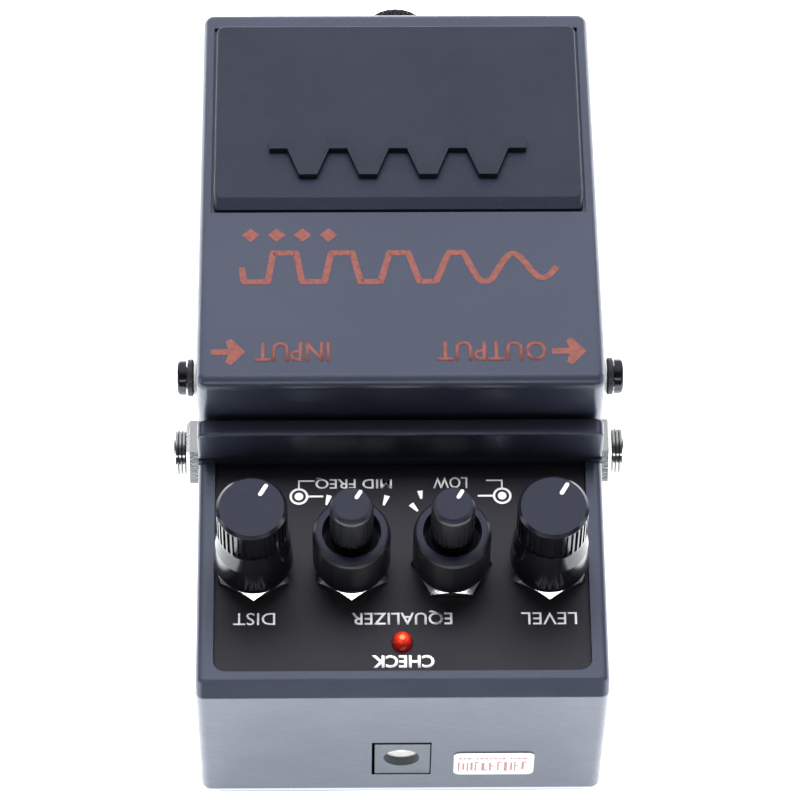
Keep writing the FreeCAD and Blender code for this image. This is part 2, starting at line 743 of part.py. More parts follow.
def return_spring():
    """Compression spring between the deck and the treadle's seat, with closed ends."""
    low = D.deck_top.value + 0.15 + SPRING_WIRE
    top = (treadle_top_at(D.spring_y) - D.treadle_wall - 2.4).value - 0.15 - SPRING_WIRE
    turns = 5
    path = Part.makeHelix((top - low) / turns, top - low, SPRING_RADIUS)
    section = Part.Wire(Part.makeCircle(SPRING_WIRE, Vector(SPRING_RADIUS, 0, 0), Vector(0, 1, 0)))
    coil = Part.Wire(path).makePipeShell([section], True, True)
    spring = doc.addObject("Part::Feature", "return_spring")
    spring.Shape = coil
    spring.Placement = FreeCAD.Placement(Vector(D.spring_x.value, D.spring_y.value, low), Rotation())
    spring.Label = "return_spring"
    PIECES.append(spring)


def foot_switch():
    """Momentary switch hung under the deck on a bent steel bracket, with its plunger."""
    under_deck = D.deck_top - D.deck_thick
    case = Piece("foot_switch_body", at=(D.switch_x, D.spring_y, under_deck - 8.4))
    case.block((-5.9, -5.9, 0), (5.9, 5.9, 8.3))
    case.rod((0, 0, 3.0), PLUNGER_RADIUS + 0.08, 8, cut=True)
    bracket = Piece("foot_switch_bracket", at=(D.switch_x, D.spring_y, under_deck - 9.4))
    bracket.block((-6.9, -5.6, 0), (6.9, 5.6, 0.9))
    for side in (-1, 1):
        low = 6.1 if side > 0 else -6.9
        bracket.block((low, -5.6, 0), (low + 0.8, 5.6, 9.4))
        foot = 6.1 if side > 0 else -10.2
        bracket.block((foot, -5.6, 8.5), (foot + 4.1, 5.6, 9.4))
        bracket.rod((8.4 * side, 0, 8), 0.95, 3, cut=True)
    plunger = Piece("foot_switch_plunger", at=(D.switch_x, D.spring_y, 0))
    plunger.rod((0, 0, under_deck - 3.6), PLUNGER_RADIUS, PLUNGER_TOP - under_deck + 3.6)
    plunger.fillet(0.6, lambda box, edge: near(box.ZMin, PLUNGER_TOP) and near(box.ZMax, PLUNGER_TOP))
    screws = []
    for side in (-1, 1):
        name = "right" if side > 0 else "left"
        screw = Piece(f"switch_screw_{name}", at=(D.switch_x + 8.4 * side, D.spring_y, under_deck - 0.9))
        screw.rod((0, 0, -1.1), 1.4, 1.1)
        screw.rod((0, 0, 0), 0.9, 0.9)
        screws.append(screw.body)
    group("foot_switch_screws", screws)
    actuator = Piece("switch_actuator", at=(D.switch_x, D.spring_y, 0))
    top = treadle_top_at(D.spring_y) - D.treadle_wall - 1.2
    actuator.rod((0, 0, PLUNGER_TOP + 0.4), 3.6, top - PLUNGER_TOP - 0.4)
    actuator.fillet(0.8, lambda box, edge: near(box.ZMin, PLUNGER_TOP + 0.4)
                    and near(box.ZMax, PLUNGER_TOP + 0.4))


PLUNGER_TOP = as_size(44.6)


# ---------------------------------------------------------------- battery

def battery():
    low_x = as_size(-28.2)
    low_y = as_size(-49.8)
    low_z = D.well_floor
    long, wide, tall = 48.5, 26.5, 17.5
    cell = Piece("battery_block", at=(low_x, low_y, low_z))
    cell.block((0, 0, 0), (long - 3, wide, tall))
    cell.fillet(1.6, runs_along("x", 20))
    for y, radius in ((7.0, 2.8), (19.5, 3.6)):
        cell.rod((long - 3.5, y, tall / 2), radius, 3.3, turn="+x")
    snap = Piece("battery_snap", at=(low_x + long - 0.1, low_y, low_z))
    snap.block((0, 1.2, 3.0), (3.4, wide - 1.2, tall - 3.0))
    snap.fillet(1.2, runs_along("x", 2))
    leads = []
    for name, z in (("red", 1.0), ("black", -1.0)):
        wire = Piece(f"battery_lead_{name}", at=(LEADS_X, low_y + wide - 1.2, LEADS_Z + z))
        wire.rod((0, 0, 0), 0.65, 17.0, turn="+y")
        leads.append(wire.body)
    group("battery_leads", leads)


# ---------------------------------------------------------------- jacks and power socket

def side_jacks():
    """Boxed jacks with threaded bushings, held by a washer and a nut outside the case."""
    washers, nuts = [], []
    inner = half - D.wall - 0.1
    board_top = D.board_z + D.board_thick
    for name, side in SIDES:
        turn = "+x" if side > 0 else "-x"
        at = (0, D.jack_y, D.jack_z)
        body = Piece(f"{name}_jack_body", at=at, turn=turn)
        body.block((-7, -6.5, 4.6), (7, 6.5, inner))
        body.rod((0, 0, 5.4), 3.9, 40, cut=True)
        bushing = Piece(f"{name}_jack_bushing", at=at, turn=turn)
        bushing.rod((0, 0, inner), D.jack_bushing, half + D.jack_stand - inner)
        bushing.chamfer(0.3, lambda box, edge: near(box.ZMin, half + D.jack_stand)
                        and near(box.ZMax, half + D.jack_stand))
        bushing.rod((0, 0, inner - 1), D.jack_bore, 12, cut=True)
        for step in range(3):
            thread = half + D.jack_stand - 0.75 - 0.6 * step
            bushing.revolve(
                [
                    (D.jack_bushing - 0.25, thread),
                    (D.jack_bushing + 0.1, thread - 0.22),
                    (D.jack_bushing + 0.1, thread + 0.22),
                ],
                cut=True,
            )
        washer = Piece(f"{name}_jack_washer", at=at, turn=turn)
        washer.rod((0, 0, half), 5.8, 0.45)
        washer.rod((0, 0, half - 1), D.jack_bushing + 0.03, 3, cut=True)
        washers.append(washer.body)
        nut = Piece(f"{name}_jack_nut", at=at, turn=turn)
        nut.prism((0, 0, half + 0.45), 10.6, 2.0, spin=30)
        nut.chamfer(0.55, lambda box, edge: near(box.ZMin, half + 2.45) and near(box.ZMax, half + 2.45))
        nut.rod((0, 0, half - 1), D.jack_bushing + 0.03, 6, cut=True)
        nuts.append(nut.body)
        tabs = []
        for step in range(3):
            x = (9.0 + 8.0 * step) * side
            tab = Piece(f"{name}_jack_tab_{step}", at=(x - 1.0, D.jack_y, board_top))
            tab.block((0, -0.2, 0), (2.0, 0.2, D.jack_z - 7 - board_top))
            tabs.append(tab.body)
        group(f"{name}_jack_contacts", tabs)
    group("jack_washers", washers)
    group("jack_nuts", nuts)


def power_socket():
    """Moulded socket that fills the opening in the rear wall, its centre pin and its sleeve contact."""
    body = Piece("dc_socket_body")
    face = D.rear_face - 0.15
    body.block(
        (-D.socket_half_width + 0.2, face - 13.0, D.board_z + D.board_thick),
        (D.socket_half_width - 0.5, face, D.socket_high - 1.0),
    )
    body.block(
        (-D.socket_half_width - 1, D.rear_face - D.wall - 0.2, D.board_z),
        (D.socket_half_width + 1, D.rear_face + 1, D.socket_low + 0.03),
        cut=True,
    )
    centre_z = (D.socket_low + D.socket_high) / 2
    body.rod((0, face + 1, centre_z), D.socket_bore, 10.5, turn="-y", cut=True)
    pin = Piece("dc_socket_centre_pin", at=(0, face - 9.5, centre_z), turn="+y")
    pin.rod((0, 0, 0), 1.0, 8.3)
    pin.fillet(0.7, lambda box, edge: near(box.ZMin, 8.3) and near(box.ZMax, 8.3))
    sleeve = Piece("dc_socket_sleeve", at=(0, face - 9.5, centre_z))
    sleeve.rod((0, 0, 0), D.socket_bore - 0.05, 8.0, turn="+y")
    sleeve.rod((0, -1, 0), D.socket_bore - 0.4, 10, turn="+y", cut=True)
    group("dc_socket_pin", [pin.body, sleeve.body])


# ---------------------------------------------------------------- controls

def rib_ring(piece, radius, low, tall, count, depth=0.32):
    """Fine upright grooves round a knob's grip."""
    groove = piece.box((as_size(radius) - depth, -depth, low), (2, 2 * depth, tall), cut=True)
    piece.polar(groove, count)


def tall_knob(name, x):
    """Knob with a smooth skirt, rounded in at its foot, and a ribbed grip."""
    knob = Piece(f"knob_{name}", at=(x, D.knob_row_y, D.knob_base_z))
    foot = D.knob_foot_radius
    top = D.knob_top_radius
    tall = D.knob_tall
    knob.revolve(
        [
            (0, 0),
            (foot - 0.85, 0),
            (foot - 0.7, 0.2),
            (foot - 0.25, 0.8),
            (foot - 0.05, 1.4),
            (foot, 2.2),
            (foot - 0.12, 4.0),
            (foot - 0.35, 7.0),
            (top - 0.1, 9.6),
            (top - 0.25, 10.5),
            (top, 10.9),
            (top, tall - 0.5),
            (top - 0.5, tall),
            (0, tall),
        ]
    )
    knob.rod((0, 0, -1), D.shaft_radius + 0.02, SHAFT_REACH + 1, cut=True)
    knob.rod((0, 0, -1), 5.2, 1.9, cut=True)
    rib_ring(knob, top, 11.2, tall - 11.8, 36)
    pointer(knob, top - 0.6, tall)


SHAFT_REACH = 13.0


def pointer(knob, reach, tall):
    """Shallow line cut in a knob's top, towards its lowest mark."""
    angle = math.radians(POINTER_ANGLE)
    wide = 0.7
    start = reach * 0.53
    feature = knob.box((0, 0, 0), (reach * 0.37, wide, 1), cut=True)
    feature.Placement = FreeCAD.Placement(Vector(), Rotation(Vector(0, 0, 1), POINTER_ANGLE))
    knob.place(feature, (
        start * math.cos(angle) + wide / 2 * math.sin(angle),
        start * math.sin(angle) - wide / 2 * math.cos(angle),
        tall - 0.15,
    ))


POINTER_ANGLE = -120.0


def dual_knob(name, x):
    """Slim inner knob inside a separate outer ring knob."""
    ring = Piece(f"knob_{name}_ring", at=(x, D.knob_row_y, D.knob_base_z))
    foot = D.knob_foot_radius
    ring.revolve(
        [
            (0, 0),
            (foot - 0.85, 0),
            (foot - 0.7, 0.2),
            (foot - 0.35, 0.8),
            (foot - 0.15, 1.6),
            (foot - 0.15, D.ring_tall - 1.1),
            (foot - 0.3, D.ring_tall - 0.5),
            (foot - 0.65, D.ring_tall - 0.1),
            (foot - 1.0, D.ring_tall),
            (0, D.ring_tall),
        ]
    )
    ring.rod((0, 0, 6.2), D.ring_bore, 8, cut=True)
    ring.rod((0, 0, -1), D.shaft_radius + 0.02, 12, cut=True)
    ring.rod((0, 0, -1), 5.2, 1.9, cut=True)
    inner = Piece(f"knob_{name}_inner", at=(x, D.knob_row_y, D.knob_base_z))
    slim = D.inner_radius
    tall = D.inner_tall
    inner.revolve(
        [
            (0, 6.6),
            (slim + 0.7, 6.6),
            (slim + 0.7, 7.6),
            (slim, 8.4),
            (slim - 0.1, 10.6),
            (slim, 11.0),
            (slim, tall - 0.9),
            (slim - 0.15, tall - 0.4),
            (slim - 0.45, tall - 0.1),
            (slim - 0.8, tall),
            (0, tall),
        ]
    )
    inner.rod((0, 0, 5), D.inner_shaft_radius + 0.02, SHAFT_REACH - 3.4, cut=True)
    rib_ring(inner, slim, 11.2, tall - 13.4, 24, depth=0.12)
    pointer(inner, slim - 0.25, tall)


def control(name, x, dual):
    """Potentiometer under the deck and its shaft or shafts; returns its bushing and nut."""
    under_deck = D.deck_top - D.deck_thick
    top = D.deck_top + D.panel_thick
    can = Piece(f"control_{name}_can", at=(x, D.knob_row_y, 0))
    tall = 10.5 if dual else 6.5
    can.block((-5.2, -5.6, under_deck - 0.1 - tall), (5.2, 5.6, under_deck - 0.1))
    can.chamfer(0.8, runs_along("z", 4))
    can.rod((0, 0, under_deck - tall - 1), D.shaft_radius + 0.05, tall + 2, cut=True)
    bushing = Piece(f"control_{name}_bushing", at=(x, D.knob_row_y, 0))
    bushing.rod((0, 0, under_deck - 0.1), BUSHING_RADIUS, top + 1.9 - under_deck + 0.1)
    bushing.rod((0, 0, under_deck - 2), D.shaft_radius + 0.05, 12, cut=True)
    nut = Piece(f"control_{name}_nut", at=(x, D.knob_row_y, top))
    nut.rod((0, 0, 0), 5.6, 0.3)
    nut.prism((0, 0, 0.25), 11.5, 1.0, spin=0 if name == "low_high" else 30)
    nut.revolve([(5.75, 1.3), (5.75, 1.25), (6.75, 0.45), (6.9, 0.45), (6.9, 1.3)], cut=True)
    nut.rod((0, 0, -1), BUSHING_RADIUS + 0.03, 5, cut=True)
    low = under_deck - tall + 1
    shaft = Piece(f"control_{name}_shaft", at=(x, D.knob_row_y, 0))
    if dual:
        shaft.rod((0, 0, low), D.shaft_radius, D.knob_base_z + 6.0 - low)
        shaft.rod((0, 0, low - 1), D.inner_shaft_radius + 0.05, 40, cut=True)
        inner = Piece(f"control_{name}_inner_shaft", at=(x, D.knob_row_y, 0))
        inner.rod((0, 0, low - 0.5), D.inner_shaft_radius, D.knob_base_z + SHAFT_REACH + 1.4 - low)
        dual_knob(name, x)
    else:
        shaft.rod((0, 0, low), D.shaft_radius, D.knob_base_z + SHAFT_REACH - 0.2 - low)
        tall_knob(name, x)
    return bushing.body, nut.body


def controls():
    fittings = [control(name, x, dual) for name, x, dual in CONTROLS]
    group("control_bushings", [bushing for bushing, _ in fittings])
    group("control_nuts", [nut for _, nut in fittings])


def check_lamp():
    """Small lamp that shows through the panel."""
    under_deck = D.deck_top - D.deck_thick
    lens = Piece("check_lamp", at=(0, D.lamp_y, 0))
    base = under_deck - 2.0
    dome_start = D.deck_top + D.panel_thick + 0.6
    lens.revolve(
        [
            (0, base),
            (2.2, base),
            (2.2, under_deck - 0.1),
            (D.lamp_radius, under_deck - 0.1),
            (D.lamp_radius, dome_start),
            (D.lamp_radius * 0.92, dome_start + 0.6),
            (D.lamp_radius * 0.7, dome_start + 1.1),
            (D.lamp_radius * 0.35, dome_start + 1.42),
            (0, dome_start + 1.5),
        ]
    )
    holder = Piece("check_lamp_holder", at=(0, D.lamp_y, 0))
    holder.rod((0, 0, under_deck - 14.0), 2.4, 12.0)


# ---------------------------------------------------------------- circuit boards

def boards():
    main = Piece("main_board")
    top = D.board_z + D.board_thick
    main.block((-28.6, 1.0, D.board_z), (28.6, 62.4, top))
    for x in (-1, 1):
        main.rod((PILLAR_X * x, PILLAR_REAR_Y, 0), 3.8, 12, cut=True)
    upper = Piece("control_board")
    low = D.deck_top - D.deck_thick - 0.1 - 10.5 - D.board_thick
    upper.block((-29.4, 34.4, low), (29.4, 52.6, low + D.board_thick))
    posts = []
    for x in (-1, 1):
        side = "right" if x > 0 else "left"
        post = Piece(f"board_post_{side}", at=(26.0 * x, 49.0, top))
        post.rod((0, 0, 0), 1.8, low - top)
        posts.append(post.body)
        pot_foot = Piece(f"control_foot_{side}", at=(D.knob_outer_x * x, D.knob_row_y, low + D.board_thick))
        pot_foot.block((-4.8, -5.0, 0), (4.8, 5.0, 4.0))
        posts.append(pot_foot.body)
    group("board_spacers", posts)
    chips = []
    for step in range(4):
        chip = Piece(f"op_amp_{step}", at=(-21.0 + 13.0 * step, 30.0, top))
        chip.block((-4.8, -3.2, 0.4), (4.8, 3.2, 3.7))
        for pin in range(4):
            chip.block((-4.0 + 2.54 * pin, -3.9, 0), (-3.5 + 2.54 * pin, 3.9, 2.0))
        chips.append(chip.body)
    group("op_amp_chips", chips)
    cans = []
    for step in range(5):
        can = Piece(f"capacitor_{step}", at=(-22.0 + 8.0 * step, 42.0, top))
        can.rod((0, 0, 0), 2.5, 7.5)
        can.fillet(0.4, lambda box, edge: near(box.ZMin, 7.5) and near(box.ZMax, 7.5))
        cans.append(can.body)
    group("electrolytic_capacitors", cans)


def rear_label():
    piece = Piece("rear_label")
    piece.block((-21.9, D.rear_face, 8.3), (-8.65, D.rear_face + 0.15, 16.4))
    piece.fillet(1.2, runs_along("y", 0.05))


# ---------------------------------------------------------------- build and write

chassis()
control_panel()
bottom_plate()
rubber_base()
base_screws()
treadle()
treadle_rubber_pad()
pad_emblem()
hinge_parts()
thumbscrew()
guide_bush()
spring_seat()
return_spring()
foot_switch()
battery()
side_jacks()
power_socket()
controls()
check_lamp()
boards()
rear_label()
doc.recompute()

problems = [f"{item.Label}: {item.State}" for item in doc.Objects
            if "Invalid" in item.State or "Error" in item.State]
for item in PIECES:
    if item.Shape.isNull() or not item.Shape.isValid():
        problems.append(f"{item.Label}: bad shape")
if problems:
    raise ValueError("; ".join(problems))

os.makedirs("parts", exist_ok=True)
for item in PIECES:
    item.Shape.exportStep(f"parts/{item.Label}.step")
    print(f"{item.Label}: {len(item.Shape.Solids)} solid(s), {item.Shape.Volume:.1f} mm3")
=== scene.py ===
"""Looks for a compact guitar effects pedal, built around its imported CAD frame. Metres, +Z up."""
import math
import random

import bmesh
import bpy
from mathutils import Matrix, Vector
from mathutils.bvhtree import BVHTree


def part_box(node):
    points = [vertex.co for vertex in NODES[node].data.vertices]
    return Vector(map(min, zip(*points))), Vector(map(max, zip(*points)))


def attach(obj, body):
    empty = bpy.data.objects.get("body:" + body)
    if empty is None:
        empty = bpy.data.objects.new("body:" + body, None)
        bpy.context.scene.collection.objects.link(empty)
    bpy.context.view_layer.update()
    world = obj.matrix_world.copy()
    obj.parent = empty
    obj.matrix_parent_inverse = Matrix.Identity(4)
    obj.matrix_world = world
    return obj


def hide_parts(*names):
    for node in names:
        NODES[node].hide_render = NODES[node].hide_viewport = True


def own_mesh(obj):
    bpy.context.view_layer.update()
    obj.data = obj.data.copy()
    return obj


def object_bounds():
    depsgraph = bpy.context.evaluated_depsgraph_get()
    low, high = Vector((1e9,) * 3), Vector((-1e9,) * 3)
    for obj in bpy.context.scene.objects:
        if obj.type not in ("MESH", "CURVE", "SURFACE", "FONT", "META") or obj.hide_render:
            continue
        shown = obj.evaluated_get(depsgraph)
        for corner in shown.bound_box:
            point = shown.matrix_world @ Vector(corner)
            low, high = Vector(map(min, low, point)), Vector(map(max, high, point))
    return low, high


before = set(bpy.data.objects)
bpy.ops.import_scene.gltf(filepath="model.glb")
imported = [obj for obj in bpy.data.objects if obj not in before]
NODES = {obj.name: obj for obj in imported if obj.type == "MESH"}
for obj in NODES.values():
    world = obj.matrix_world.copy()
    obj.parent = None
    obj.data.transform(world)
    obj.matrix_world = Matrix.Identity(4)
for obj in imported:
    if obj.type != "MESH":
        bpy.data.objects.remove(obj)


def plain(bounds):
    """The two corners of a box as plain lists of numbers."""
    return [[float(value) for value in corner] for corner in bounds]


CAD_BOX = plain(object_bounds())
MM = 0.001


# Camera, floor and light -------------------------------------------------------------------------

CAMERA_PLACE = (0.00965, 0.37181, 0.65486)
CAMERA_TURN = (30.344, -0.558, 179.406)
CAMERA_LENS = 193.19

BACK_GLOW = (0.98, 1.0, 1.04)
FRONT_GLOW = (0.11, 0.115, 0.125)
SIDE_CARD = (0.10, 0.10, 0.12)

FLOOR_HALF = 3.0
FLOOR_STEPS = 24
FLOOR_GLOW = 1.85
FLOOR_FADE = (0.55, 0.90)

# Each light: name, place, width and height, power in watts, colour. All face the frame's origin.
STUDIO_LIGHTS = (
    ("top_light", (0.0, -0.64, 1.46), (1.4, 0.5), 39, (1.0, 1.0, 1.0)),
    ("left_light", (1.2, -0.4, 1.2), (0.7, 0.9), 3, (1.0, 0.99, 0.98)),
    ("right_light", (-1.2, -0.4, 1.2), (0.7, 0.9), 3, (0.98, 0.99, 1.0)),
)
GLINT_LIGHTS = (
    ("front_glint", (0.0, 1.42, 1.16), (2.6, 0.24), 9, (0.97, 0.98, 1.0)),
    ("left_glint", (1.8, 0.25, 0.45), (0.8, 0.35), 2.5, (0.97, 0.98, 1.0)),
    ("right_glint", (-1.8, 0.25, 0.45), (0.8, 0.35), 2.5, (0.97, 0.98, 1.0)),
)


def add_camera():
    data = bpy.data.cameras.new("camera")
    data.lens = CAMERA_LENS
    data.sensor_width = 36
    data.clip_start = 0.01
    data.clip_end = 20
    camera = bpy.data.objects.new("camera", data)
    bpy.context.scene.collection.objects.link(camera)
    camera.location = CAMERA_PLACE
    camera.rotation_euler = [math.radians(angle) for angle in CAMERA_TURN]
    bpy.context.scene.camera = camera


def softbox(name, place, size, power, colour, glint=False):
    """A studio light that faces the origin. It is left out of reflections, or shows only in them."""
    data = bpy.data.lights.new(name, "AREA")
    data.shape = "RECTANGLE"
    data.size, data.size_y = size
    data.energy = power
    data.color = colour
    light = bpy.data.objects.new(name, data)
    bpy.context.scene.collection.objects.link(light)
    light.visible_glossy = glint
    light.visible_diffuse = not glint
    light.location = place
    light.rotation_euler = (Vector() - Vector(place)).to_track_quat("-Z", "Y").to_euler()


def add_world():
    """A studio with a wide soft light behind the pedal, a dim front and dark cards at both sides."""
    world = bpy.data.worlds.new("studio")
    bpy.context.scene.world = world
    world.use_nodes = True
    tree = world.node_tree
    coords = tree.nodes.new("ShaderNodeTexCoord")
    split = tree.nodes.new("ShaderNodeSeparateXYZ")
    tree.links.new(coords.outputs["Generated"], split.inputs[0])
    back = ramp_node(tree, split.outputs["Y"], ((0.30, BACK_GLOW), (0.62, FRONT_GLOW)), (-1, 1))
    left = ramp_node(tree, split.outputs["X"], ((0.80, 0), (0.88, 1)), (-1, 1))
    right = ramp_node(tree, split.outputs["X"], ((0.12, 1), (0.20, 0)), (-1, 1))
    sky = blend_colours(tree, left, back, (*SIDE_CARD, 1))
    sky = blend_colours(tree, right, sky, (*SIDE_CARD, 1))
    tree.links.new(sky, tree.nodes["Background"].inputs["Color"])


def blend_colours(tree, factor, below, above):
    """A plain colour laid over another by a factor."""
    mix = tree.nodes.new("ShaderNodeMix")
    mix.data_type = "RGBA"
    tree.links.new(factor, mix.inputs[0])
    tree.links.new(below, mix.inputs[6])
    mix.inputs[7].default_value = above
    return mix.outputs[2]


def ramp_node(tree, value, stops, span):
    """A colour ramp over a span of a value. A stop is a place and a grey level or a colour."""
    place = tree.nodes.new("ShaderNodeMapRange")
    place.inputs["From Min"].default_value, place.inputs["From Max"].default_value = span
    tree.links.new(value, place.inputs["Value"])
    ramp = tree.nodes.new("ShaderNodeValToRGB")
    ramp.color_ramp.interpolation = "EASE"
    for element, (where, tone) in zip(ramp.color_ramp.elements, stops):
        element.position = where
        element.color = (*tone, 1) if isinstance(tone, tuple) else (tone, tone, tone, 1)
    tree.links.new(place.outputs[0], ramp.inputs[0])
    return ramp.outputs[0]


def add_studio():
    add_world()
    for light in STUDIO_LIGHTS:
        softbox(*light)
    for light in GLINT_LIGHTS:
        softbox(*light, glint=True)
    bm = bmesh.new()
    bmesh.ops.create_grid(bm, x_segments=FLOOR_STEPS, y_segments=FLOOR_STEPS, size=FLOOR_HALF)
    floor = new_piece("studio_floor", bm, floor_look())
    floor.location.z = CAD_BOX[0][2]
    bpy.context.scene.view_settings.view_transform = "Standard"


# Materials ---------------------------------------------------------------------------------------

class Look:
    """A Principled material with short calls that add its nodes."""

    def __init__(self, name, rough=0.5, metal=0.0, **sockets):
        self.material = bpy.data.materials.new(name)
        self.material.use_nodes = True
        self.tree = self.material.node_tree
        self.shader = self.tree.nodes["Principled BSDF"]
        self.shader.inputs["Roughness"].default_value = rough
        self.shader.inputs["Metallic"].default_value = metal
        for socket, value in sockets.items():
            self.shader.inputs[socket.replace("_", " ")].default_value = value
        self.coords = self.node("ShaderNodeTexCoord").outputs["Object"]

    def node(self, kind, **values):
        node = self.tree.nodes.new(kind)
        for name, value in values.items():
            setattr(node, name, value)
        return node

    def link(self, output, socket):
        self.tree.links.new(output, socket)

    def stretched(self, factors):
        """The object's own coordinates, scaled along each axis."""
        mapping = self.node("ShaderNodeMapping")
        mapping.inputs["Scale"].default_value = factors
        self.link(self.coords, mapping.inputs["Vector"])
        return mapping.outputs[0]

    def noise(self, scale, detail=3.0, rough=0.55, coords=None):
        node = self.node("ShaderNodeTexNoise")
        node.inputs["Scale"].default_value = scale
        node.inputs["Detail"].default_value = detail
        node.inputs["Roughness"].default_value = rough
        self.link(coords or self.coords, node.inputs["Vector"])
        return node.outputs[0]

    def cells(self, scale, coords=None):
        node = self.node("ShaderNodeTexVoronoi")
        node.inputs["Scale"].default_value = scale
        self.link(coords or self.coords, node.inputs["Vector"])
        return node.outputs["Distance"]

    def axis(self, letter):
        split = self.node("ShaderNodeSeparateXYZ")
        self.link(self.coords, split.inputs[0])
        return split.outputs[letter]

    def spread(self, value, low, high, to_low=0.0, to_high=1.0):
        """Maps a range of a value onto another range, held at its ends."""
        node = self.node("ShaderNodeMapRange")
        self.link(value, node.inputs["Value"])
        node.inputs["From Min"].default_value = low
        node.inputs["From Max"].default_value = high
        node.inputs["To Min"].default_value = to_low
        node.inputs["To Max"].default_value = to_high
        return node.outputs[0]

    def maths(self, operation, first, second):
        node = self.node("ShaderNodeMath", operation=operation)
        for socket, value in zip(node.inputs, (first, second)):
            if isinstance(value, (int, float)):
                socket.default_value = value
            else:
                self.link(value, socket)
        return node.outputs[0]

    def mix(self, factor, first, second):
        """A colour between two colours; each is a colour or another node's output."""
        node = self.node("ShaderNodeMix", data_type="RGBA")
        self.link(factor, node.inputs[0])
        for socket, value in ((node.inputs[6], first), (node.inputs[7], second)):
            if isinstance(value, tuple):
                socket.default_value = (*value, 1)
            else:
                self.link(value, socket)
        return node.outputs[2]

    def upward(self):
        """0 on upright faces and 1 on faces that look up."""
        split = self.node("ShaderNodeSeparateXYZ")
        self.link(self.node("ShaderNodeNewGeometry").outputs["Normal"], split.inputs[0])
        return self.spread(split.outputs["Z"], 0.6, 0.95)

    def colour(self, value):
        self.link(value, self.shader.inputs["Base Color"])

    def rough(self, value):
        self.link(value, self.shader.inputs["Roughness"])

    def bump(self, *layers):
        """Adds height layers, each (value, depth in metres), one over the other."""
        normal = None
        for value, depth in layers:
            node = self.node("ShaderNodeBump")
            node.inputs["Distance"].default_value = depth
            self.link(value, node.inputs["Height"])
            if normal is not None:
                self.link(normal, node.inputs["Normal"])
            normal = node.outputs[0]
        self.link(normal, self.shader.inputs["Normal"])


def floor_look():
    """White paper that glows round the pedal, as if lit from beneath, and falls dark further out."""
    look = Look("floor_paper", rough=0.9, Emission_Strength=FLOOR_GLOW)
    reach = look.node("ShaderNodeVectorMath", operation="LENGTH")
    look.link(look.coords, reach.inputs[0])
    far = look.spread(reach.outputs["Value"], *FLOOR_FADE)
    look.link(look.mix(far, (0.90, 0.97, 1.0), (0.02, 0.02, 0.02)), look.shader.inputs["Emission Color"])
    paper = look.mix(look.noise(2.0, 2), (0.90, 0.90, 0.905), (0.93, 0.93, 0.93))
    look.colour(look.mix(far, paper, (0.10, 0.10, 0.11)))
    look.bump((look.noise(900), 0.0001))
    return look.material


SLATE = (0.034, 0.040, 0.066)
SLATE_LIGHT = (0.052, 0.060, 0.094)
PAINT_ROUGH = 0.34


def metallic_paint(name):
    """Stoved metallic paint: fine flakes, faint clouding and a little orange peel."""
    look = Look(name, metal=0.3, Coat_Weight=0.3, Coat_Roughness=0.2)
    flakes = look.spread(look.cells(4800), 0.05, 0.55)
    cloud = look.spread(look.noise(22, 3), 0.35, 0.65)
    tone = look.maths("ADD", look.maths("MULTIPLY", flakes, 0.65), look.maths("MULTIPLY", cloud, 0.35))
    look.colour(look.mix(tone, SLATE, SLATE_LIGHT))
    look.rough(look.spread(look.noise(160, 6), 0.3, 0.7, PAINT_ROUGH - 0.04, PAINT_ROUGH + 0.05))
    look.bump((look.noise(520, 2), 0.00004), (look.noise(3600, 2), 0.000015))
    return look.material


def panel_look():
    """Printed sheet with a fine satin grain."""
    look = Look("panel_sheet", Specular_IOR_Level=0.5)
    cloud = look.noise(40, 3)
    look.colour(look.mix(cloud, (0.0090, 0.0080, 0.0125), (0.0125, 0.0110, 0.0165)))
    look.rough(look.spread(look.noise(160, 6), 0.3, 0.7, 0.30, 0.38))
    look.bump((look.cells(4200), 0.000015), (look.noise(1500, 4), 0.000015))
    return look.material


def rubber_look(name, dark, light, rough=0.48, shine=0.5):
    """Moulded rubber: fine sand-like grain and faint bloom."""
    look = Look(name, Specular_IOR_Level=shine)
    bloom = look.spread(look.noise(60, 5), 0.35, 0.70)
    grain = look.spread(look.noise(2600, 3), 0.3, 0.7)
    look.colour(look.mix(grain, look.mix(bloom, dark, light), light))
    look.rough(look.spread(look.noise(240, 6), 0.3, 0.7, rough - 0.05, rough + 0.06))
    look.bump((look.noise(2400, 4), 0.00004), (look.cells(5200), 0.00002))
    return look.material


PLASTIC_GRAIN = 0.00002


def plastic_look(name, dark, light, rough=0.3, coat=0.0):
    """Moulded plastic with faint flow marks and a fine grain."""
    look = Look(name, Specular_IOR_Level=0.5, Coat_Weight=coat, Coat_Roughness=0.12)
    flow = look.noise(150, 4, coords=look.stretched((1, 1, 0.35)))
    look.colour(look.mix(flow, dark, light))
    look.rough(look.spread(look.noise(420, 6), 0.3, 0.7, rough - 0.05, rough + 0.07))
    look.bump((look.noise(2900, 3), PLASTIC_GRAIN), (look.noise(300, 2), PLASTIC_GRAIN))
    return look.material


def knob_look(name, side, side_rough):
    """Knob plastic: satin on top, and its own tone and polish on the sides. The tops are painted a lighter
    blue-grey as a painted sheen.
    """
    look = Look(name, Specular_IOR_Level=0.5)
    flow = look.noise(150, 4, coords=look.stretched((1, 1, 0.35)))
    sides = look.mix(flow, side, tuple(1.5 * part for part in side))
    # Painted sheen: upward faces get a lighter blue-grey than the black sides, for the light they catch from
    # above.
    top = look.mix(flow, (0.007, 0.0085, 0.022), (0.010, 0.012, 0.028))
    up = look.upward()
    look.colour(look.mix(up, sides, top))
    patch = look.spread(look.noise(420, 6), 0.3, 0.7, -0.03, 0.04)
    look.rough(look.maths("ADD", look.spread(up, 0, 1, side_rough, 0.30), patch))
    look.bump((look.noise(2900, 3), 0.000012), (look.noise(300, 2), 0.000012))
    return look.material


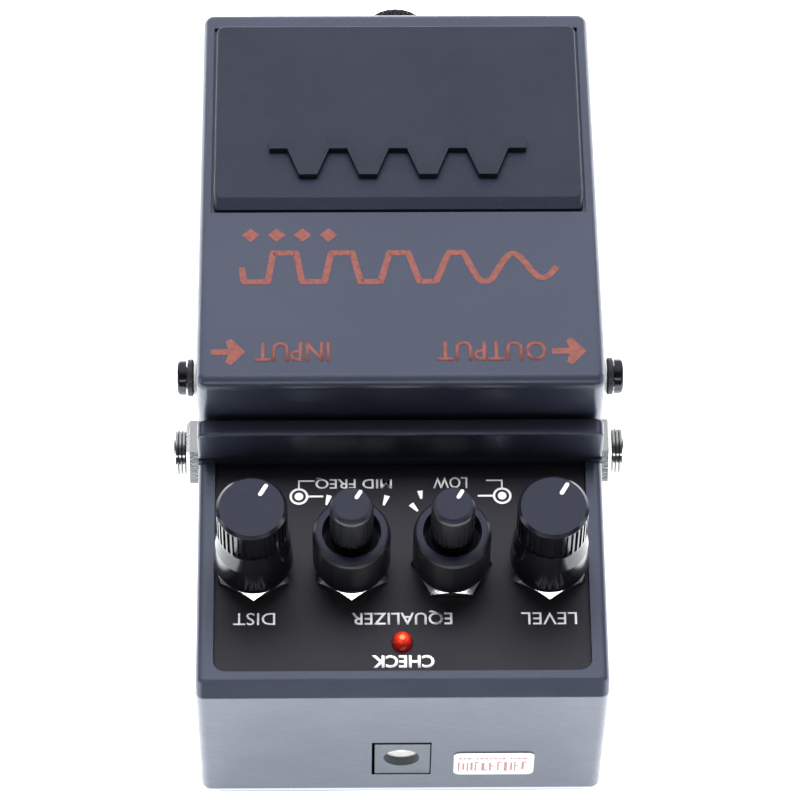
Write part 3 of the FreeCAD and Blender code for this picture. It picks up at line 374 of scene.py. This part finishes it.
def socket_metal_look():
    """Plated contacts deep in the power socket, with a faint glow that keeps them bright."""
    look = Look("socket_metal", metal=0.5, Emission_Strength=0.35)
    haze = look.noise(900, 4)
    bright = look.mix(haze, (0.70, 0.70, 0.68), (0.88, 0.88, 0.86))
    look.colour(bright)
    look.link(bright, look.shader.inputs["Emission Color"])
    look.rough(look.spread(haze, 0.3, 0.7, 0.35, 0.5))
    look.bump((look.noise(2500, 3), 0.00001))
    return look.material


def metal_look(name, dark, light, rough=0.2, brush=(1, 1, 1)):
    """Plated or bare metal with fine brushing and hazy patches."""
    look = Look(name, metal=1.0)
    haze = look.noise(180, 5)
    look.colour(look.mix(haze, dark, light))
    lines = look.noise(2200, 4, coords=look.stretched(brush))
    patches = look.maths("ADD", look.maths("MULTIPLY", lines, 0.5), look.maths("MULTIPLY", haze, 0.5))
    look.rough(look.spread(patches, 0.3, 0.7, 0.7 * rough, 1.4 * rough))
    look.bump((lines, 0.00001))
    return look.material


def ink_look(name, thin, full):
    """Screen-printed ink, a little uneven where it lies thin."""
    look = Look(name, Specular_IOR_Level=0.35)
    patch = look.spread(look.noise(1300, 5), 0.32, 0.55)
    look.colour(look.mix(patch, thin, full))
    look.rough(look.spread(look.noise(900, 4), 0.3, 0.7, 0.42, 0.58))
    look.bump((look.noise(2600, 3), 0.00001))
    return look.material


def lamp_look():
    """Tinted lamp body: clear red resin that glows a little round the die in its middle. Its edge is darkened
    as painted shade, and its middle is painted bright for the die's glow with a painted highlight.
    """
    look = Look("lamp_resin", rough=0.12, IOR=1.5, Subsurface_Weight=0.25, Subsurface_Scale=0.001)
    look.shader.inputs["Subsurface Radius"].default_value = (1.0, 0.25, 0.1)
    x, y = middle("check_lamp")
    reach = look.node("ShaderNodeVectorMath", operation="DISTANCE")
    look.link(look.stretched((1, 1, 0)), reach.inputs[0])
    reach.inputs[1].default_value = (x * MM, y * MM, 0)
    out = reach.outputs["Value"]
    # Painted shade: the resin darkens towards the dome's edge.
    painted_rim_shade = look.spread(out, 0.0008, 0.0014)
    # Painted highlight: the middle over the die is coloured bright, on top of the lamp's own glow.
    die_glow_and_highlight = look.spread(out, 0.0003, 0.0006, 1.0, 0.0)
    cloud = look.spread(look.noise(1500, 3), 0.35, 0.65)
    body = look.mix(cloud, (0.55, 0.020, 0.008), (0.80, 0.060, 0.018))
    tone = look.mix(die_glow_and_highlight, look.mix(painted_rim_shade, body, (0.36, 0.008, 0.005)), (0.95, 0.26, 0.10))
    look.colour(tone)
    look.link(tone, look.shader.inputs["Emission Color"])
    look.shader.inputs["Emission Strength"].default_value = 0.22
    look.bump((look.noise(500, 2), 0.00002))
    return look.material


def board_look():
    """Circuit board: green lacquer over copper tracks."""
    look = Look("board_lacquer", rough=0.3, Coat_Weight=0.4, Coat_Roughness=0.15)
    brick = look.node("ShaderNodeTexBrick")
    brick.inputs["Scale"].default_value = 420
    brick.inputs["Mortar Size"].default_value = 0.06
    look.link(look.coords, brick.inputs["Vector"])
    look.colour(look.mix(brick.outputs["Fac"], (0.012, 0.10, 0.035), (0.05, 0.22, 0.08)))
    look.rough(look.spread(look.noise(300, 5), 0.3, 0.7, 0.25, 0.42))
    look.bump((brick.outputs["Fac"], 0.00003), (look.noise(1800, 2), 0.00001))
    return look.material


def battery_look():
    """Generic battery jacket: graphite with a copper-coloured end."""
    look = Look("battery_jacket", metal=0.7)
    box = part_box("battery_block")
    edge = box[0].x + 0.74 * (box[1].x - box[0].x)
    copper = look.spread(look.axis("X"), edge - 0.0001, edge + 0.0001)
    jacket = look.mix(look.noise(90, 4), (0.020, 0.021, 0.024), (0.035, 0.036, 0.040))
    look.colour(look.mix(copper, jacket, (0.48, 0.22, 0.10)))
    look.rough(look.spread(look.noise(500, 5), 0.3, 0.7, 0.24, 0.38))
    look.bump((look.noise(120, 3), 0.00008), (look.noise(1500, 3), 0.00001))
    return look.material


def wire_look():
    """PVC sleeves of two leads: red on one side, black on the other."""
    look = Look("lead_sleeve", Specular_IOR_Level=0.5)
    low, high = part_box("battery_leads")
    middle = (low.z + high.z) / 2
    side = look.spread(look.axis("Z"), middle - 0.0001, middle + 0.0001)
    dark = look.mix(look.noise(800), (0.012, 0.012, 0.014), (0.022, 0.022, 0.025))
    look.colour(look.mix(side, dark, (0.45, 0.015, 0.012)))
    look.rough(look.spread(look.noise(700, 4), 0.3, 0.7, 0.35, 0.5))
    look.bump((look.noise(900, 3), 0.00003))
    return look.material


LOOKS = {
    "case_paint": lambda: metallic_paint("case_paint"),
    "treadle_paint": lambda: metallic_paint("treadle_paint"),
    "panel_print": panel_look,
    "pad_rubber": lambda: rubber_look("pad_rubber", (0.008, 0.011, 0.023), (0.013, 0.017, 0.032)),
    "emblem_rubber": lambda: rubber_look("emblem_rubber", (0.006, 0.008, 0.018), (0.011, 0.014, 0.027)),
    "base_rubber": lambda: rubber_look("base_rubber", (0.014, 0.014, 0.015), (0.026, 0.026, 0.028), 0.8, 0.1),
    "knob_plastic": lambda: knob_look("knob_plastic", (0.005, 0.005, 0.0065), 0.15),
    "knob_satin": lambda: knob_look("knob_satin", (0.007, 0.007, 0.009), 0.34),
    "socket_metal": socket_metal_look,
    "black_plastic": lambda: plastic_look("black_plastic", (0.014, 0.015, 0.017), (0.022, 0.023, 0.026)),
    "grey_plastic": lambda: plastic_look("grey_plastic", (0.085, 0.098, 0.12), (0.115, 0.130, 0.155), 0.45),
    "black_nylon": lambda: plastic_look("black_nylon", (0.014, 0.014, 0.016), (0.022, 0.022, 0.025), 0.42),
    "nylon": lambda: plastic_look("nylon", (0.62, 0.61, 0.57), (0.74, 0.73, 0.69), 0.4, coat=0.1),
    "chip": lambda: plastic_look("chip_epoxy", (0.018, 0.018, 0.019), (0.030, 0.030, 0.031), 0.55),
    "capacitor": lambda: plastic_look("capacitor_sleeve", (0.015, 0.017, 0.026), (0.024, 0.028, 0.042), 0.3),
    "satin_nickel": lambda: metal_look("satin_nickel", (0.36, 0.36, 0.355), (0.56, 0.56, 0.55), 0.12),
    "chrome": lambda: metal_look("nickel_plate", (0.62, 0.61, 0.59), (0.78, 0.77, 0.75), 0.14),
    "bright_screw": lambda: metal_look("zinc_plate", (0.55, 0.56, 0.58), (0.72, 0.73, 0.76), 0.24),
    "plate_steel": lambda: metal_look("plate_steel", (0.42, 0.43, 0.45), (0.56, 0.57, 0.60), 0.34, (1, 8, 8)),
    "spring_steel": lambda: metal_look("spring_steel", (0.38, 0.38, 0.40), (0.52, 0.52, 0.54), 0.25),
    "black_screw": lambda: metal_look("black_oxide", (0.030, 0.030, 0.034), (0.070, 0.072, 0.078), 0.16),
    "label_white": lambda: ink_look("label_film", (0.83, 0.83, 0.84), (0.90, 0.90, 0.91)),
    "lamp_red": lamp_look,
    "board": board_look,
    "battery_shell": battery_look,
    "wire": wire_look,
}


NODE_LOOKS = {
    "knob_low_high_ring": "knob_satin",
    "knob_low_high_inner": "knob_satin",
    "knob_mid_freq_ring": "knob_satin",
    "knob_mid_freq_inner": "knob_satin",
    "dc_socket_pin": "socket_metal",
}


def dress_frame():
    """Gives every CAD node its own look, or the look of its material slot."""
    made = {}
    for name, node in NODES.items():
        for slot in node.material_slots:
            look = NODE_LOOKS.get(name) or slot.material.name.split(".")[0]
            if look not in made:
                made[look] = LOOKS[look]()
            slot.material = made[look]


# Pieces ------------------------------------------------------------------------------------------

def new_piece(name, bm, material):
    mesh = bpy.data.meshes.new(name)
    bm.to_mesh(mesh)
    bm.free()
    mesh.materials.append(material)
    piece = bpy.data.objects.new(name, mesh)
    bpy.context.scene.collection.objects.link(piece)
    return piece


INK_THICKNESS = 0.03
INK_GAP = 0.005
ARC_STEP = math.radians(12)


class Drawing:
    """Flat printed shapes, drawn in millimetres, that become one thin closed mesh."""

    def __init__(self):
        self.bm = bmesh.new()

    def outline(self, points):
        self.bm.faces.new([self.bm.verts.new((x * MM, y * MM, 0)) for x, y in points])

    def line(self, points, width, closed=False):
        """A line of even width with mitred corners."""
        count = len(points)
        rails = []
        for index, point in enumerate(points):
            before = points[index - 1] if index or closed else None
            after = points[(index + 1) % count] if index + 1 < count or closed else None
            rails.append(self.rail(Vector(point), before, after, width / 2))
        for index in range(count if closed else count - 1):
            (a, b), (c, d) = rails[index], rails[(index + 1) % count]
            self.bm.faces.new((a, b, d, c))

    def rail(self, point, before, after, half):
        """The two vertices beside a point of a line."""
        steps = []
        if before is not None:
            steps.append((point - Vector(before)).normalized())
        if after is not None:
            steps.append((Vector(after) - point).normalized())
        along = (steps[0] + steps[-1]).normalized()
        across = Vector((-along.y, along.x))
        reach = half / max(0.35, across.dot(Vector((-steps[0].y, steps[0].x))))
        ends = (point - across * reach, point + across * reach)
        return [self.bm.verts.new((end.x * MM, end.y * MM, 0)) for end in ends]

    def ring(self, centre, radius, width):
        self.line(arc(centre, radius, 0, 2 * math.pi)[:-1], width, closed=True)

    def disc(self, centre, radius):
        self.outline(arc(centre, radius, 0, 2 * math.pi)[:-1])

    def pill(self, start, end, width):
        """A short dash with round ends."""
        start, end = Vector(start), Vector(end)
        turn = math.atan2(end.y - start.y, end.x - start.x)
        half = math.pi / 2
        self.outline(arc(end, width / 2, turn - half, turn + half)
                     + arc(start, width / 2, turn + half, turn + 3 * half))

    def wedge(self, start, end, width):
        """A tapered tick with its broad end at its start."""
        start, end = Vector(start), Vector(end)
        across = (end - start).normalized().orthogonal() * width / 2
        self.outline([tuple(start - across), tuple(end - across * 0.35), tuple(end + across * 0.35),
                      tuple(start + across)])

    def bar(self, low, high):
        """An upright rectangle from its low to its high corner."""
        self.outline([low, (high[0], low[1]), high, (low[0], high[1])])

    def arrow(self, tip, size):
        """An arrow that points along -X, with a broad notched head."""
        x, y = tip
        head, half, stem = 0.42 * size, 0.5 * size, 0.11 * size
        notch = 0.50 * size
        self.outline([(x, y), (x + head, y + half), (x + head + 0.16 * size, y + half - 0.10 * size),
                      (x + notch, y + stem), (x + size, y + stem), (x + size, y - stem),
                      (x + notch, y - stem), (x + head + 0.16 * size, y - half + 0.10 * size),
                      (x + head, y - half)])

    def words(self, text, low, high, bold=0.0):
        """Lettering that fills the box from its low to its high corner."""
        curve = bpy.data.curves.new("words", "FONT")
        curve.body = text
        curve.size = 1.0
        curve.offset = bold
        curve.resolution_u = 3
        holder = bpy.data.objects.new("words", curve)
        bpy.context.scene.collection.objects.link(holder)
        bpy.context.view_layer.update()
        mesh = bpy.data.meshes.new_from_object(holder.evaluated_get(bpy.context.evaluated_depsgraph_get()))
        xs = [vertex.co.x for vertex in mesh.vertices]
        ys = [vertex.co.y for vertex in mesh.vertices]
        fit_x = (high[0] - low[0]) / (max(xs) - min(xs))
        fit_y = (high[1] - low[1]) / (max(ys) - min(ys))
        for vertex in mesh.vertices:
            place = (low[0] + (vertex.co.x - min(xs)) * fit_x, low[1] + (vertex.co.y - min(ys)) * fit_y)
            vertex.co = (place[0] * MM, place[1] * MM, 0)
        self.bm.from_mesh(mesh)
        bpy.data.objects.remove(holder)
        bpy.data.curves.remove(curve)
        bpy.data.meshes.remove(mesh)

    def piece(self, name, material, thickness=INK_THICKNESS):
        """Thickens the drawing upwards and makes it an object."""
        bmesh.ops.remove_doubles(self.bm, verts=self.bm.verts, dist=1e-7)
        bmesh.ops.recalc_face_normals(self.bm, faces=self.bm.faces)
        for face in self.bm.faces:
            if face.normal.z > 0:
                face.normal_flip()
        grown = bmesh.ops.extrude_face_region(self.bm, geom=self.bm.faces[:])
        verts = [item for item in grown["geom"] if isinstance(item, bmesh.types.BMVert)]
        bmesh.ops.translate(self.bm, verts=verts, vec=(0, 0, thickness * MM))
        bmesh.ops.recalc_face_normals(self.bm, faces=self.bm.faces)
        return new_piece(name, self.bm, material)


def arc(centre, radius, start, end):
    """Points of an arc, both ends included."""
    steps = max(2, round(abs(end - start) / ARC_STEP))
    angles = [start + (end - start) * index / steps for index in range(steps + 1)]
    return [(centre[0] + radius * math.cos(angle), centre[1] + radius * math.sin(angle)) for angle in angles]


def surface_under(node, x, y):
    """The point and normal of a node's upper surface at a place in millimetres."""
    mesh = NODES[node].data
    tree = BVHTree.FromPolygons([v.co for v in mesh.vertices], [p.vertices for p in mesh.polygons])
    point, normal, _, _ = tree.ray_cast(Vector((x * MM, y * MM, 1.0)), Vector((0, 0, -1)))
    return point, normal


def lay_on(piece, node, x, y, body):
    """Lays a drawing on a node's upper surface. The drawing's own origin comes to x, y."""
    point, normal = surface_under(node, x, y)
    up = (Vector((0, 1, 0)) - normal * normal.y).normalized()
    across = up.cross(normal)
    turn = Matrix((across, up, normal)).transposed().to_4x4()
    piece.data.transform(Matrix.Translation(point + normal * INK_GAP * MM) @ turn)
    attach(piece, body)


def stand_on_rear(piece, x, z, y):
    """Stands a drawing on a wall that faces +Y, readable from behind. Its origin comes to x, z."""
    turn = Matrix(((-1, 0, 0), (0, 0, 1), (0, 1, 0))).transposed().to_4x4()
    piece.data.transform(Matrix.Translation((x, y + INK_GAP * MM, z)) @ turn)
    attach(piece, "case")


def centred(x, y, width, height):
    return (x - width / 2, y - height / 2), (x + width / 2, y + height / 2)


# Print on the panel and the treadle -------------------------------------------------------------

# Each word: its text, what it is placed from, x and y from that, width and height, boldness.
PANEL_WORDS = (
    ("LEVEL", "level", (0.2, 9.8), (9.0, 2.2), 0.0),
    ("DIST", "dist", (-0.1, 9.7), (6.8, 2.2), 0.0),
    ("EQUALIZER", "row", (0, 9.55), (16.3, 2.6), 0.012),
    ("CHECK", "lamp", (-0.1, 3.4), (10.1, 2.3), 0.03),
    ("MID FREQ", "mid_freq", (-0.4, -15.4), (12.6, 2.15), 0.012),
    ("LOW", "low_high", (-0.1, -15.4), (5.6, 2.15), 0.012),
)


def panel_print(ink):
    """White names, rings and leader lines. Places are measured from the row of knobs."""
    row = middle("control_level_shaft")[1]
    knob = {name: middle(f"control_{name}_shaft")[0] for name in ("level", "low_high", "mid_freq", "dist")}
    anchors = {name: (x, 0) for name, x in knob.items()}
    anchors["row"] = (0, 0)
    anchors["lamp"] = (0, middle("check_lamp")[1] - row)
    names = Drawing()
    for text, anchor, (right, up), (width, height), bold in PANEL_WORDS:
        x, y = anchors[anchor]
        names.words(text, *centred(x + right, y + up, width, height), bold=bold)
    for side, pair in ((1, "mid_freq"), (-1, "low_high")):
        dual_marks(names, knob[pair], side)
    piece = names.piece("panel_print", ink)
    lay_on(piece, "control_panel", 0, row, "case")


# End marks of the two dual controls, from their shafts: each starts broad and ends narrow.
DIAL_TICKS = {
    1: (((3.6, -13.1), (4.1, -11.3)), ((-5.9, -13.0), (-5.3, -11.2))),
    -1: (((4.9, -13.9), (4.7, -12.4)), ((6.4, -11.4), (5.3, -10.1))),
}
TICK_WIDTH = 0.95
SYMBOL_PLACE = (8.6, -12.9)


def dual_marks(drawing, x, side):
    """Ring symbol of a dual control, its leader lines and its end marks."""
    ring = (x + side * SYMBOL_PLACE[0], SYMBOL_PLACE[1])
    drawing.ring(ring, 1.35, 0.38)
    drawing.disc(ring, 0.72)
    corner = (ring[0], ring[1] - 2.9)
    drawing.line([(ring[0], ring[1] - 1.5), corner, (ring[0] - side * 2.6, corner[1])], 0.26)
    drawing.line([(ring[0] - side * 1.5, ring[1]), (ring[0] - side * 4.0, ring[1])], 0.34)
    for start, end in DIAL_TICKS[side]:
        drawing.wedge((x + start[0], start[1]), (x + end[0], end[1]), TICK_WIDTH)


JACK_ROW_Y = 12.9
JACK_NAMES = (("INPUT", (11.5, -2.0), (23.7, 2.1)), ("OUTPUT", (-23.7, -2.0), (-5.9, 2.1)))
JACK_NAME_BOLD = 0.015
ARROW_TIPS = ((25.2, 0.1), (-30.2, 0.1))
ARROW_SIZE = 5.6

WAVE_Y = -4.8
WAVE_WIDTH = 52.0
WAVE_HEIGHT = 3.1
WAVE_LINE = 1.1
DIAMONDS = 4
FIRST_DIAMOND = (24.6, -7.0)
DIAMOND_PITCH = 4.3
DIAMOND_HALF = 1.5


def treadle_print(ink):
    """Arrows, jack names and a generic wave in brick-coloured ink."""
    names = Drawing()
    for text, low, high in JACK_NAMES:
        names.words(text, low, high, bold=JACK_NAME_BOLD)
    for tip in ARROW_TIPS:
        names.arrow(tip, ARROW_SIZE)
    piece = names.piece("jack_names", ink)
    lay_on(piece, "treadle", 0, JACK_ROW_Y, "treadle_lid")
    wave = Drawing()
    wave.line(overdriven_wave(WAVE_WIDTH, WAVE_HEIGHT), WAVE_LINE)
    y = FIRST_DIAMOND[1]
    half = DIAMOND_HALF
    for index in range(DIAMONDS):
        x = FIRST_DIAMOND[0] - DIAMOND_PITCH * index
        wave.outline([(x - half, y), (x, y - half), (x + half, y), (x, y + half)])
    piece = wave.piece("treadle_wave", ink)
    lay_on(piece, "treadle", 0, WAVE_Y, "treadle_lid")


def overdriven_wave(width, height):
    """A sine wave that is pushed until its tops go flat, from left to right."""
    points = []
    steps = 300
    for index in range(steps + 1):
        along = index / steps
        gain = 0.75 + 3.2 * along ** 1.5
        level = max(-1.0, min(1.0, gain * math.sin(2 * math.pi * 5.5 * along)))
        points.append(((along - 0.5) * width, level * height))
    return points


LABEL_REACH = 5.9


def label_print(ink):
    """Generic rows of dashes and bars on the rear label, in place of words."""
    low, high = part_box("rear_label")
    chance = random.Random(7)
    rows = Drawing()
    for start, end in ((-5.8, -3.6), (-2.9, 1.9), (2.7, 5.7)):
        place = start
        while place < end:
            wide = chance.uniform(0.3, 0.9)
            rows.bar((place, 1.75), (min(place + wide, end), 2.15))
            place += wide + 0.25
    place = -LABEL_REACH
    while place < LABEL_REACH:
        wide = chance.uniform(0.22, 0.5)
        foot, head = chance.uniform(-2.7, -2.1), chance.uniform(0.2, 0.9)
        rows.bar((place, foot), (place + wide, head))
        if chance.random() < 0.45:
            shelf = chance.choice((foot, head - 0.3, (foot + head) / 2))
            rows.bar((place + wide, shelf), (place + wide + 0.45, shelf + 0.3))
            place += 0.45
        place += wide + chance.uniform(0.3, 0.6)
    piece = rows.piece("label_rows", ink)
    stand_on_rear(piece, (low.x + high.x) / 2, (low.z + high.z) / 2, high.y)


SPRING_WIRE = 0.6
SPRING_TURNS = 6.0
CLOSED_TURNS = 0.7
STEPS_PER_TURN = 28
WIRE_SIDES = 10


def return_spring(material):
    """The return spring as wound wire with closed ends; it rides with the hinge carrier."""
    low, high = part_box("return_spring")
    wire = SPRING_WIRE * MM
    radius = (high.x - low.x) / 2 - wire
    steps = round(SPRING_TURNS * STEPS_PER_TURN)
    rise = high.z - low.z - 2 * wire
    bm = bmesh.new()
    rings = []
    for step in range(steps + 1):
        turn = SPRING_TURNS * step / steps
        climb = min(1.0, max(0.0, (turn - CLOSED_TURNS) / (SPRING_TURNS - 2 * CLOSED_TURNS)))
        spin = 2 * math.pi * turn
        out = Vector((math.cos(spin), math.sin(spin), 0))
        centre = Vector(((low.x + high.x) / 2, (low.y + high.y) / 2, low.z + wire + rise * climb))
        ring = []
        for corner in range(WIRE_SIDES):
            angle = 2 * math.pi * corner / WIRE_SIDES
            ring.append(bm.verts.new(centre + out * (radius + wire * math.cos(angle))
                                     + Vector((0, 0, wire * math.sin(angle)))))
        rings.append(ring)
    for first, second in zip(rings, rings[1:]):
        for corner in range(WIRE_SIDES):
            after = (corner + 1) % WIRE_SIDES
            bm.faces.new((first[corner], first[after], second[after], second[corner]))
    bm.faces.new(rings[0])
    bm.faces.new(rings[-1])
    bmesh.ops.recalc_face_normals(bm, faces=bm.faces)
    for face in bm.faces:
        face.smooth = len(face.verts) == 4
    coil = new_piece("spring_coil", bm, material)
    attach(coil, "hinge_carrier")
    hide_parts("return_spring")
    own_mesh(coil)


def middle(node):
    """A node's middle in millimetres, seen from above."""
    low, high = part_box(node)
    return (low.x + high.x) / 2 / MM, (low.y + high.y) / 2 / MM


POINTER_TURN = math.radians(-120)
POINTER_THICKNESS = 0.15
POINTER_SUNK = 0.14

# Each pointer: its knob, the body it rides, its start and end from the knob's axis, its width.
POINTERS = (
    ("knob_level", "level_control", 2.75, 4.5, 0.66),
    ("knob_dist", "dist_control", 2.75, 4.5, 0.66),
    ("knob_low_high_inner", "high_inner_control", 1.6, 2.8, 0.62),
    ("knob_mid_freq_inner", "mid_inner_control", 1.6, 2.8, 0.62),
)


def knob_pointers(ink):
    """White dashes in the grooves on the knobs' tops."""
    way = (math.cos(POINTER_TURN), math.sin(POINTER_TURN))
    for node, body, start, end, width in POINTERS:
        x, y = middle(node)
        drawing = Drawing()
        drawing.pill((way[0] * start, way[1] * start), (way[0] * end, way[1] * end), width)
        piece = drawing.piece(f"{node}_pointer", ink, POINTER_THICKNESS)
        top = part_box(node)[1].z
        piece.data.transform(Matrix.Translation((x * MM, y * MM, top - POINTER_SUNK * MM)))
        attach(piece, body)


def main():
    add_camera()
    dress_frame()
    white = ink_look("white_ink", (0.84, 0.85, 0.88), (0.95, 0.95, 0.96))
    brick = ink_look("brick_ink", (0.150, 0.050, 0.042), (0.215, 0.072, 0.060))
    faded = ink_look("faded_ink", (0.40, 0.14, 0.14), (0.55, 0.24, 0.24))
    panel_print(white)
    treadle_print(brick)
    label_print(faded)
    knob_pointers(white)
    return_spring(metal_look("spring_wire", (0.40, 0.40, 0.42), (0.56, 0.56, 0.58), 0.22))
    add_studio()


main()
